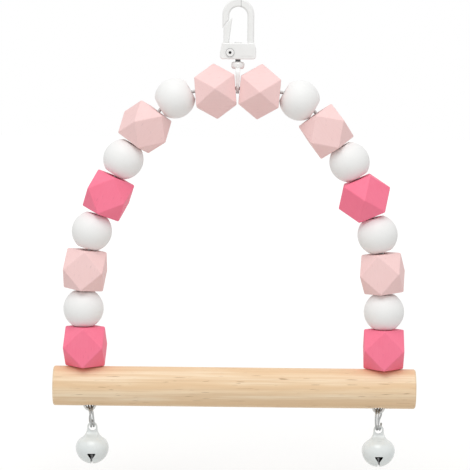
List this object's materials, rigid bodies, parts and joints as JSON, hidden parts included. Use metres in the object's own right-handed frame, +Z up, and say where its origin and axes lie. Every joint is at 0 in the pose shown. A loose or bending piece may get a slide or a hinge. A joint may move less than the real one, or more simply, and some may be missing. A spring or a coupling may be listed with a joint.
{
  "type": "bird swing",
  "caption": "Hanging swing for a pet bird: a wooden perch on an arched wire strung with faceted and round painted beads, with jingle bells below and a swivelling snap hook on top.",
  "frame": {"origin": "centre of the round inside top of the snap hook, where the carrying bar lies", "axes": "+Z up, X along the perch, the pictured front faces -Y"},
  "size_m": [0.1802, 0.0274, 0.232],
  "materials": {
    "white_enamel": "glossy white enamel over die-cast or stamped metal",
    "spring_steel": "drawn spring wire",
    "wire_steel": "galvanised bent wire",
    "ring_nickel": "nickel-plated spring steel",
    "pellet_steel": "tumbled steel ball",
    "pine": "sanded bare pine with fine long grain",
    "bead_deep_pink": "matte deep pink paint on wood",
    "bead_pale_pink": "matte pale pink paint on wood",
    "bead_white": "satin white paint on wood"
  },
  "bodies": {
    "hook": {"hook_body": "white_enamel", "gate_rivet": "white_enamel", "gate_spring": "spring_steel"},
    "gate": {"hook_gate": "white_enamel"},
    "swivel": {"swivel_eye": "white_enamel"},
    "swing": {"arch_wire": "wire_steel", "perch": "pine"},
    "left_bead_9": {"left_bead_9": "bead_pale_pink"},
    "left_bead_8": {"left_bead_8": "bead_white"},
    "left_bead_7": {"left_bead_7": "bead_pale_pink"},
    "left_bead_6": {"left_bead_6": "bead_white"},
    "left_bead_5": {"left_bead_5": "bead_deep_pink"},
    "left_bead_4": {"left_bead_4": "bead_white"},
    "left_bead_3": {"left_bead_3": "bead_pale_pink"},
    "left_bead_2": {"left_bead_2": "bead_white"},
    "left_bead_1": {"left_bead_1": "bead_deep_pink"},
    "left_ring": {"left_split_ring": "ring_nickel"},
    "left_bell": {"left_bell_upper": "white_enamel", "left_bell_lower": "white_enamel"},
    "left_pellet": {"left_bell_pellet": "pellet_steel"},
    "right_bead_9": {"right_bead_9": "bead_pale_pink"},
    "right_bead_8": {"right_bead_8": "bead_white"},
    "right_bead_7": {"right_bead_7": "bead_pale_pink"},
    "right_bead_6": {"right_bead_6": "bead_white"},
    "right_bead_5": {"right_bead_5": "bead_deep_pink"},
    "right_bead_4": {"right_bead_4": "bead_white"},
    "right_bead_3": {"right_bead_3": "bead_pale_pink"},
    "right_bead_2": {"right_bead_2": "bead_white"},
    "right_bead_1": {"right_bead_1": "bead_deep_pink"},
    "right_ring": {"right_split_ring": "ring_nickel"},
    "right_bell": {"right_bell_upper": "white_enamel", "right_bell_lower": "white_enamel"},
    "right_pellet": {"right_bell_pellet": "pellet_steel"}
  },
  "joints": [
    {"name": "gate_pivot", "type": "hinge", "parent": "hook", "child": "gate", "pos_m": [-0.0039, 0, -0.01795], "axis": [0, 1, 0], "range_deg": [0, 24], "stiffness_Nm_per_rad": 0.006, "springref_deg": -45.84, "deforming": ["gate_spring"]},
    {"name": "swivel_turn", "type": "hinge", "parent": "hook", "child": "swivel", "pos_m": [0, 0, -0.02245], "axis": [0, 0, 1], "continuous": true},
    {"name": "swing_sway", "type": "hinge", "parent": "swivel", "child": "swing", "pos_m": [0, 0, -0.0355], "axis": [1, 0, 0], "range_deg": [-45, 45]},
    {"name": "left_bead_9_spin", "type": "hinge", "parent": "swing", "child": "left_bead_9", "pos_m": [-0.01089, 0, -0.03706], "axis": [-0.9964, 0, -0.0845], "continuous": true},
    {"name": "left_bead_8_spin", "type": "hinge", "parent": "swing", "child": "left_bead_8", "pos_m": [-0.03083, 0, -0.04073], "axis": [-0.8693, 0, -0.4943], "continuous": true},
    {"name": "left_bead_7_spin", "type": "hinge", "parent": "swing", "child": "left_bead_7", "pos_m": [-0.04555, 0, -0.05502], "axis": [-0.5793, 0, -0.8151], "continuous": true},
    {"name": "left_bead_6_spin", "type": "hinge", "parent": "swing", "child": "left_bead_6", "pos_m": [-0.05604, 0, -0.0711], "axis": [-0.5172, 0, -0.8558], "continuous": true},
    {"name": "left_bead_5_spin", "type": "hinge", "parent": "swing", "child": "left_bead_5", "pos_m": [-0.06334, 0, -0.08911], "axis": [-0.3974, 0, -0.9176], "continuous": true},
    {"name": "left_bead_4_spin", "type": "hinge", "parent": "swing", "child": "left_bead_4", "pos_m": [-0.07142, 0, -0.10689], "axis": [-0.2478, 0, -0.9688], "continuous": true},
    {"name": "left_bead_3_spin", "type": "hinge", "parent": "swing", "child": "left_bead_3", "pos_m": [-0.07466, 0, -0.12619], "axis": [-0.0919, 0, -0.9958], "continuous": true},
    {"name": "left_bead_2_spin", "type": "hinge", "parent": "swing", "child": "left_bead_2", "pos_m": [-0.07536, 0, -0.14547], "axis": [-0.0001, 0, -1], "continuous": true},
    {"name": "left_bead_1_spin", "type": "hinge", "parent": "swing", "child": "left_bead_1", "pos_m": [-0.07448, 0, -0.16429], "axis": [0, 0, -1], "continuous": true},
    {"name": "left_ring_swing", "type": "hinge", "parent": "swing", "child": "left_ring", "pos_m": [-0.07201, 0, -0.19611], "axis": [1, 0, 0], "range_deg": [-28, 28]},
    {"name": "left_bell_swing", "type": "hinge", "parent": "left_ring", "child": "left_bell", "pos_m": [-0.07065, 0, -0.20476], "axis": [0, 1, 0], "range_deg": [-50, 50]},
    {"name": "left_pellet_roll", "type": "hinge", "parent": "left_bell", "child": "left_pellet", "pos_m": [-0.07065, 0, -0.21516], "axis": [1, 0, 0], "range_deg": [-50, 50]},
    {"name": "right_bead_9_spin", "type": "hinge", "parent": "swing", "child": "right_bead_9", "pos_m": [0.01089, 0, -0.03706], "axis": [0.9964, 0, -0.0845], "continuous": true},
    {"name": "right_bead_8_spin", "type": "hinge", "parent": "swing", "child": "right_bead_8", "pos_m": [0.03067, 0, -0.04114], "axis": [0.8678, 0, -0.4969], "continuous": true},
    {"name": "right_bead_7_spin", "type": "hinge", "parent": "swing", "child": "right_bead_7", "pos_m": [0.04398, 0, -0.05628], "axis": [0.5789, 0, -0.8154], "continuous": true},
    {"name": "right_bead_6_spin", "type": "hinge", "parent": "swing", "child": "right_bead_6", "pos_m": [0.0557, 0, -0.07133], "axis": [0.5171, 0, -0.8559], "continuous": true},
    {"name": "right_bead_5_spin", "type": "hinge", "parent": "swing", "child": "right_bead_5", "pos_m": [0.06332, 0, -0.08907], "axis": [0.3978, 0, -0.9175], "continuous": true},
    {"name": "right_bead_4_spin", "type": "hinge", "parent": "swing", "child": "right_bead_4", "pos_m": [0.07014, 0, -0.10725], "axis": [0.2475, 0, -0.9689], "continuous": true},
    {"name": "right_bead_3_spin", "type": "hinge", "parent": "swing", "child": "right_bead_3", "pos_m": [0.07287, 0, -0.12648], "axis": [0.0909, 0, -0.9959], "continuous": true},
    {"name": "right_bead_2_spin", "type": "hinge", "parent": "swing", "child": "right_bead_2", "pos_m": [0.07393, 0, -0.1456], "axis": [0.0001, 0, -1], "continuous": true},
    {"name": "right_bead_1_spin", "type": "hinge", "parent": "swing", "child": "right_bead_1", "pos_m": [0.07404, 0, -0.1643], "axis": [0, 0, -1], "continuous": true},
    {"name": "right_ring_swing", "type": "hinge", "parent": "swing", "child": "right_ring", "pos_m": [0.07201, 0, -0.19611], "axis": [1, 0, 0], "range_deg": [-28, 28]},
    {"name": "right_bell_swing", "type": "hinge", "parent": "right_ring", "child": "right_bell", "pos_m": [0.07221, 0, -0.20484], "axis": [0, 1, 0], "range_deg": [-50, 50]},
    {"name": "right_pellet_roll", "type": "hinge", "parent": "right_bell", "child": "right_pellet", "pos_m": [0.07221, 0, -0.21524], "axis": [1, 0, 0], "range_deg": [-50, 50]}
  ]
}
